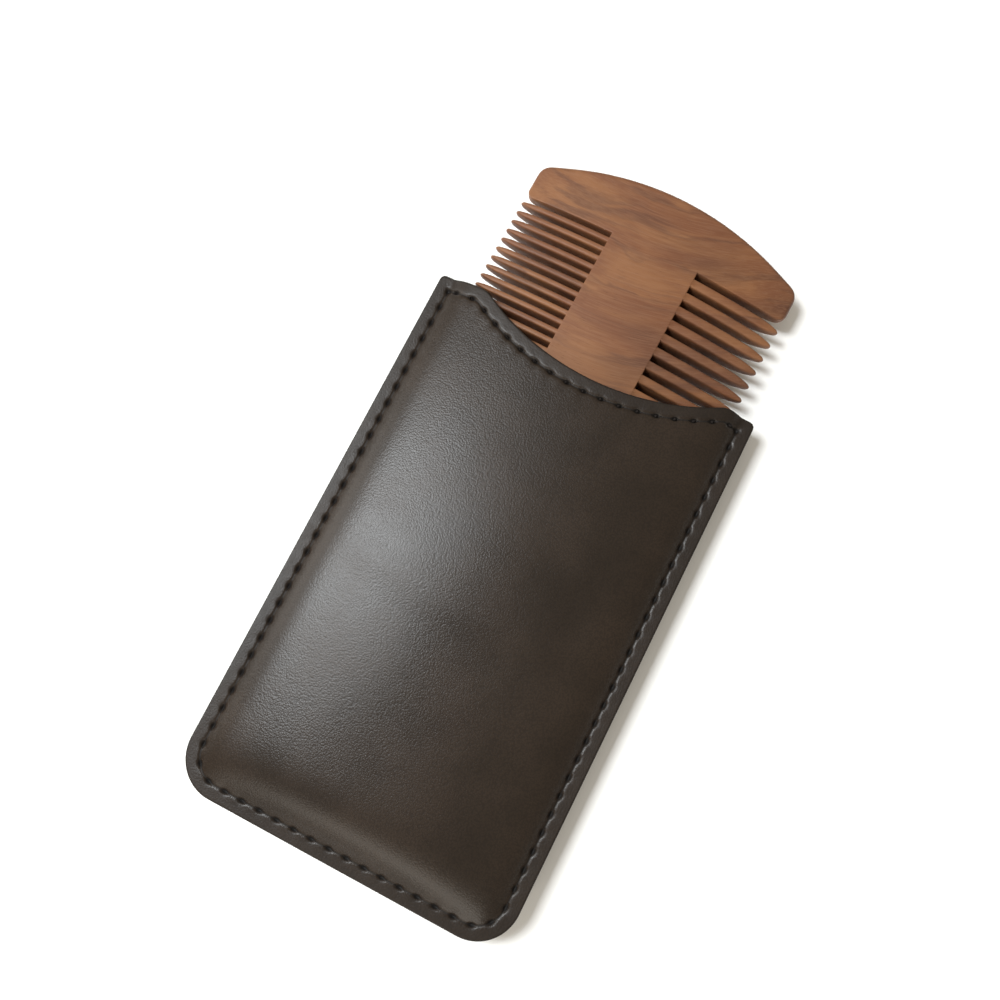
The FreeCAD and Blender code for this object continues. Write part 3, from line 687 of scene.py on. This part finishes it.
def strandTree():
    tree = bpy.data.node_groups.new("stitchRow", "GeometryNodeTree")
    for name, kind in (("Geometry", "NodeSocketGeometry"), ("Strand", "NodeSocketObject"),
                       ("Thread Finish", "NodeSocketMaterial")):
        tree.interface.new_socket(name, in_out="INPUT", socket_type=kind)
    tree.interface.new_socket("Geometry", in_out="OUTPUT", socket_type="NodeSocketGeometry")
    bench = Bench(tree)
    given = bench.add("NodeGroupInput")
    model = bench.add("GeometryNodeObjectInfo", None, {"Object": given.part("Strand")}, "Geometry")
    vector = {"data_type": "FLOAT_VECTOR"}
    along = bench.add("GeometryNodeInputNamedAttribute", vector, {"Name": "along"})
    outward = bench.add("GeometryNodeInputNamedAttribute", vector, {"Name": "outward"})
    turn = bench.add("FunctionNodeAxesToRotation", {"primary_axis": "X", "secondary_axis": "Z"},
                     {"Primary Axis": along, "Secondary Axis": outward})
    span = bench.add("GeometryNodeInputNamedAttribute", {"data_type": "FLOAT"}, {"Name": "span"})
    scale = bench.add("ShaderNodeCombineXYZ", None, {0: span, 1: 1.0, 2: 1.0})
    row = bench.add("GeometryNodeInstanceOnPoints", None,
                    {"Points": given, "Instance": model, "Rotation": turn, "Scale": scale})
    real = bench.add("GeometryNodeRealizeInstances", None, {"Geometry": row})
    finish = given.part("Thread Finish")
    done = bench.add("GeometryNodeSetMaterial", None, {"Geometry": real, "Material": finish})
    bench.add("NodeGroupOutput", None, {"Geometry": done})
    return tree


def socketNames(tree):
    return {item.name: item.identifier for item in tree.interface.items_tree if item.in_out == "INPUT"}


def runTree(piece, tree, values):
    # sets the modifier's inputs, takes the result as a plain mesh and drops the modifier
    modifier = piece.modifiers.new("rows", "NODES")
    known = socketNames(tree)
    modifier.node_group = tree
    for name, value in values.items():
        modifier[known[name]] = value
    bpy.context.view_layer.update()
    evaluated = piece.evaluated_get(bpy.context.evaluated_depsgraph_get())
    mesh = bpy.data.meshes.new_from_object(evaluated)
    old = piece.data
    piece.modifiers.remove(modifier)
    piece.data = mesh
    bpy.data.meshes.remove(old)
    mesh.name = piece.name
    return piece


strandModel = makeStrand()
stitchRow = strandTree()


def makeSeam(name, holes, side, outside):
    layer = leatherTop if outside else 0.0
    levels = faceLevel(holes, side, layer)
    outward = np.array([0, 0, side if outside else -side], float)
    ends = np.column_stack([holes, levels])
    if side < 0 and outside:
        ends[:, 2] = np.maximum(0, ends[:, 2])
    run = ends[1:] - ends[:-1]
    span = np.linalg.norm(run, axis=1)
    along = run / span[:, None]
    bed = seam["grooveDepth"] + seam["pullDepth"] if outside else strand["insideSink"]
    middle = (ends[1:] + ends[:-1]) / 2 - outward * (strand["thick"] / 2 - strand["proud"] + bed)
    if side < 0 and outside:
        middle[:, 2] = np.maximum(middle[:, 2], strand["thick"] / 2 + strand["clear"])
    piece = newPiece(name, middle, [])
    for mark, values in (("along", along), ("outward", np.tile(outward, (len(span), 1)))):
        attribute = piece.data.attributes.new(mark, "FLOAT_VECTOR", "POINT")
        attribute.data.foreach_set("vector", values.astype(np.float32).ravel())
    attribute = piece.data.attributes.new("span", "FLOAT", "POINT")
    attribute.data.foreach_set("value", (span * mm * strand["shorten"]).astype(np.float32))
    runTree(piece, stitchRow, {"Strand": strandModel, "Thread Finish": threadFinish})
    smooth(piece, strand["sharpAngle"])
    return piece


threads = {
    "side_seam_needle_thread": ("side_needle_strands", sideHoles, 1, True),
    "side_seam_bobbin_thread": ("side_bobbin_strands", sideHoles, -1, True),
    "front_mouth_needle_thread": ("front_mouth_needle_strands", mouthHoles, 1, True),
    "front_mouth_bobbin_thread": ("front_mouth_bobbin_strands", mouthHoles, 1, False),
    "back_mouth_needle_thread": ("back_mouth_needle_strands", mouthHoles, -1, True),
    "back_mouth_bobbin_thread": ("back_mouth_bobbin_strands", mouthHoles, -1, False),
}
threadPieces = {node: makeSeam(*facts) for node, facts in threads.items()}
bpy.data.objects.remove(strandModel)
print("threads made:", len(threadPieces))


# the comb, and its two rows of teeth
comb = {
    "length": 100.0, "width": 63.2, "thick": combHigh[2] - combLow[2], "edge": 1.15, "arch": 84.0,
    "corner": 3.3, "spineHalf": 10.2, "endRound": 1.0, "cutRound": 0.16, "guardCorner": 2.1, "fill": 1.6,
    "tilt": -1.8,
    "depths": [0, 0.04, 0.1, 0.2, 0.34, 0.52, 0.75, 1.0, 1.3, 1.8], "leastHalf": 0.03, "sharpAngle": 38,
    "sideStep": 0.8, "coarseStep": 0.86, "fineStep": 0.785, "cutPoints": 24, "tipPoints": 9, "cornerPoints": 10,
    "archPoints": 66,
}
rows = {
    "fine": {"side": -1, "count": 30, "pitch": 2.355, "gap": 1.17, "tip": 3.8, "flare": 0.4, "shift": 0.0,
             "corner": 0.34, "tipRound": 0.55},
    "coarse": {"side": 1, "count": 21, "pitch": 3.44, "gap": 1.45, "tip": 5.0, "flare": 0.7, "shift": -0.35,
               "corner": 0.5, "tipRound": 0.8},
}
# sink: how far a tooth's face lies below the spine's, so that the two never coincide
# root: how far a tooth reaches into the spine
tooth = {
    "sink": 0.02, "root": 0.9, "least": 0.02, "cornerPoints": 4, "cornerShare": 0.85,
    "along": (11.5, 15, 19, 23),
    "fromTip": (2.4, 1.9, 1.5, 1.15, 0.85, 0.6, 0.38, 0.2, 0.08, 0.015),
}


def halfThick(x):
    # the lens section: two flat arcs that meet in a small round edge
    x = np.abs(x)
    reach, edge = comb["width"] / 2 - comb["edge"], comb["edge"]
    rise = comb["thick"] / 2 - edge
    centre = (reach ** 2 - rise ** 2) / (2 * rise)
    radius = comb["thick"] / 2 + centre
    swap = reach + edge * reach / (radius - edge)
    flat = np.sqrt(radius ** 2 - np.minimum(x, swap) ** 2) - centre
    bead = np.sqrt(np.maximum(edge ** 2 - np.maximum(x - reach, 0) ** 2, 0))
    return np.where(x <= swap, flat, bead)


def flareOf(out, row):
    # how far a tooth has drawn in at this distance past its shoulder
    radius = (row["tip"] ** 2 + row["flare"] ** 2) / (2 * row["flare"])
    return radius - np.sqrt(radius ** 2 - np.clip(out, 0, row["tip"]) ** 2)


def rowEnds(row):
    # the guards' inner faces on this side, lower and upper
    reach = row["pitch"] * row["count"] / 2 + row["gap"] / 2
    return row["shift"] - reach, row["shift"] + reach


def boardOutline():
    # spine and guards, anticlockwise from the lower left; each point has its edge's rounding
    points, rounds = [], []
    half, long, arch, corner = comb["width"] / 2, comb["length"] / 2, comb["arch"], comb["corner"]
    archY = long - arch
    cornerX = half - corner
    cornerY = archY + math.sqrt((arch - corner) ** 2 - cornerX ** 2)
    lean = math.degrees(math.atan2(cornerX, cornerY - archY))

    def addArc(centre, radius, first, last, count, roundness):
        for angle in np.radians(np.linspace(first, last, count)):
            points.append((centre[0] + radius * math.cos(angle), centre[1] + radius * math.sin(angle)))
            rounds.append(roundness)

    def addLine(first, last, step, roundness):
        # both ends left to the neighbours
        count = max(2, round(math.dist(first, last) / step))
        for share in np.arange(1, count) / count:
            points.append(tuple(np.array(first) + share * (np.array(last) - np.array(first))))
            rounds.append(roundness)

    def addCut(row, level, up, inwards):
        # a guard's inner face, from its rounded tip to the spine or back
        side, tipCorner = row["side"], comb["guardCorner"]
        straight = np.linspace(comb["spineHalf"], half - tipCorner, comb["cutPoints"])
        run = [(side * x, level) for x in straight]
        for angle in np.radians(np.linspace(0, 90, comb["tipPoints"])[1:]):
            run.append((side * (half - tipCorner + tipCorner * math.sin(angle)),
                        level + up * (tipCorner - tipCorner * math.cos(angle))))
        for place in (run[::-1] if inwards else run):
            points.append(place)
            rounds.append(comb["cutRound"])

    fine, coarse = rows["fine"], rows["coarse"]
    fineLow, fineHigh = rowEnds(fine)
    coarseLow, coarseHigh = rowEnds(coarse)
    big, small, step = comb["endRound"], comb["cutRound"], comb["sideStep"]
    bends, archBends = comb["cornerPoints"], comb["archPoints"]
    # lower guard: left side, arch, right side
    addLine((-half, fineLow - comb["guardCorner"]), (-half, -cornerY), step, small)
    addArc((-cornerX, -cornerY), corner, 180, 270 - lean, bends, big)
    addArc((0, -archY), arch, 270 - lean, 270 + lean, archBends, big)
    addArc((cornerX, -cornerY), corner, 270 + lean, 360, bends, big)
    addLine((half, -cornerY), (half, coarseLow - comb["guardCorner"]), step, small)
    addCut(coarse, coarseLow, -1, True)
    addLine((comb["spineHalf"], coarseLow), (comb["spineHalf"], coarseHigh), comb["coarseStep"], small)
    addCut(coarse, coarseHigh, 1, False)
    addLine((half, coarseHigh + comb["guardCorner"]), (half, cornerY), step, small)
    addArc((cornerX, cornerY), corner, 0, 90 - lean, bends, big)
    addArc((0, archY), arch, 90 - lean, 90 + lean, archBends, big)
    addArc((-cornerX, cornerY), corner, 90 + lean, 180, bends, big)
    addLine((-half, cornerY), (-half, fineHigh + comb["guardCorner"]), step, small)
    addCut(fine, fineHigh, 1, True)
    addLine((-comb["spineHalf"], fineHigh), (-comb["spineHalf"], fineLow), comb["fineStep"], small)
    addCut(fine, fineLow, -1, False)
    points, rounds = np.array(points), np.array(rounds)
    apart = np.hypot(*(points - np.roll(points, 1, 0)).T) > 1e-4
    return points[apart], rounds[apart]


def drawIn(points, depth):
    # a ring moved inwards, square to its own run, with mitred corners
    before, after = points - np.roll(points, 1, 0), np.roll(points, -1, 0) - points
    before /= np.linalg.norm(before, axis=1)[:, None]
    after /= np.linalg.norm(after, axis=1)[:, None]
    inward = np.stack([-(before + after)[:, 1], (before + after)[:, 0]], 1)
    inward /= np.linalg.norm(inward, axis=1)[:, None]
    facing = np.stack([-after[:, 1], after[:, 0]], 1)
    mitre = 1 / np.clip((inward * facing).sum(1), 0.5, 1)
    return points + inward * (mitre * depth)[:, None]


def makeBoard():
    line, rounds = boardOutline()
    lastRing = drawIn(line, comb["depths"][-1])
    kept, triangles = fillInside(lastRing, comb["fill"])

    def face(sign):
        rings = []
        for depth in [*comb["depths"], None]:
            flat = kept if depth is None else drawIn(line, depth)
            thick = halfThick(flat[:, 0])
            if depth is not None:
                radius = np.minimum(rounds, 0.5 * thick)
                inward = np.clip(radius - depth, 0, None)
                thick = thick - radius + np.sqrt(np.maximum(radius ** 2 - inward ** 2, 0))
            rings.append(np.column_stack([flat, sign * np.maximum(thick, comb["leastHalf"])]))
        return rings[:-1], rings[-1]

    upper, middleUp = face(1)
    lower, middleLow = face(-1)
    return closedShell("wooden_comb", upper, lower, (middleUp, middleLow), triangles, woodFinish, None)


def makeTooth(name, row):
    # one tooth at height 0 of its row: a rounded bar with a bullet tip
    root, tip = comb["spineHalf"] - tooth["root"], comb["width"] / 2
    shoulder = tip - row["tip"]
    stations = [root, *tooth["along"], shoulder - 1, shoulder, shoulder + 1]
    stations += [tip - out for out in tooth["fromTip"]]
    verts, faces = [], []
    perCorner = tooth["cornerPoints"]
    for x in sorted(set(stations)):
        wide = (row["pitch"] - row["gap"]) / 2 - flareOf(np.array(x - shoulder), row)
        over = max(0.0, x - (tip - row["tipRound"])) / row["tipRound"]
        wide = wide * math.sqrt(max(0.0, 1 - over ** 2))
        high = max(float(halfThick(np.array(x))) - tooth["sink"], tooth["least"])
        wide = max(float(wide), tooth["least"])
        radius = min(row["corner"], tooth["cornerShare"] * wide, tooth["cornerShare"] * high)
        for quarter, (sy, sz) in enumerate(((1, 1), (-1, 1), (-1, -1), (1, -1))):
            for k in range(perCorner):
                angle = math.radians(90 * quarter + 90 * k / (perCorner - 1))
                verts.append((row["side"] * x, sy * (wide - radius) + radius * math.cos(angle),
                              sz * (high - radius) + radius * math.sin(angle)))
    around = perCorner * 4
    loops = len(verts) // around
    for i in range(loops - 1):
        for k in range(around):
            a, b = i * around + k, i * around + (k + 1) % around
            faces.append((a, b, b + around, a + around))
    faces.append(tuple(range(around)))
    faces.append(tuple(len(verts) - around + k for k in range(around)))
    piece = newPiece(name, verts, faces)
    turnOut(piece)
    return piece


def toothTree():
    tree = bpy.data.node_groups.new("toothRows", "GeometryNodeTree")
    asked = [("Geometry", "NodeSocketGeometry"), ("Wood Finish", "NodeSocketMaterial")]
    for name in ("Fine", "Coarse"):
        asked += [(name + " Tooth", "NodeSocketObject"), (name + " Count", "NodeSocketInt"),
                  (name + " Pitch", "NodeSocketFloat"), (name + " Start", "NodeSocketFloat")]
    for name, kind in asked:
        tree.interface.new_socket(name, in_out="INPUT", socket_type=kind)
    tree.interface.new_socket("Geometry", in_out="OUTPUT", socket_type="NodeSocketGeometry")
    bench = Bench(tree)
    given = bench.add("NodeGroupInput")
    joined = [given]
    for name in ("Fine", "Coarse"):
        model = bench.add("GeometryNodeObjectInfo", None, {"Object": given.part(name + " Tooth")}, "Geometry")
        start = bench.add("ShaderNodeCombineXYZ", None, {0: 0.0, 1: given.part(name + " Start"), 2: 0.0})
        step = bench.add("ShaderNodeCombineXYZ", None, {0: 0.0, 1: given.part(name + " Pitch"), 2: 0.0})
        line = bench.add("GeometryNodeMeshLine", {"mode": "OFFSET"},
                         {"Count": given.part(name + " Count"), "Start Location": start, "Offset": step})
        row = bench.add("GeometryNodeInstanceOnPoints", None, {"Points": line, "Instance": model})
        joined.append(bench.add("GeometryNodeRealizeInstances", None, {"Geometry": row}))
    union = {"operation": "UNION", "solver": "MANIFOLD"}
    whole = bench.add("GeometryNodeMeshBoolean", union, {"Mesh 2": joined})
    real = bench.add("GeometryNodeRealizeInstances", None, {"Geometry": whole})
    finish = given.part("Wood Finish")
    done = bench.add("GeometryNodeSetMaterial", None, {"Geometry": real, "Material": finish})
    bench.add("NodeGroupOutput", None, {"Geometry": done})
    return tree


def makeComb():
    board = makeBoard()
    turnOut(board)
    values = {"Wood Finish": woodFinish}
    models = []
    for name, row in rows.items():
        model = makeTooth(name + "Tooth", row)
        models.append(model)
        label = name.capitalize()
        first = row["shift"] - row["pitch"] * (row["count"] - 1) / 2
        values.update({label + " Tooth": model, label + " Count": row["count"],
                       label + " Pitch": row["pitch"] * mm, label + " Start": first * mm})
    runTree(board, toothTree(), values)
    for model in models:
        bpy.data.objects.remove(model)
    turn = Matrix.Rotation(math.radians(comb["tilt"]), 4, "Z")
    board.data.transform(Matrix.Translation(Vector(combMiddle) * mm) @ turn)
    smooth(board, comb["sharpAngle"])
    return board


woodenComb = makeComb()
print("comb made:", len(woodenComb.data.polygons), "faces")


def settle(piece, body, node):
    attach(piece, body)
    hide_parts(node)


settle(woodenComb, "comb", "comb")
for piece, node, slot in (
    (frontLeather, "front_outer_leather", "leather"), (backLeather, "back_outer_leather", "leather"),
    (frontCloth, "front_lining", "lining_cloth"), (backCloth, "back_lining", "lining_cloth"),
):
    settle(piece, "sleeve", node)
for node, piece in threadPieces.items():
    settle(piece, "sleeve", node)

print("pieces settled")
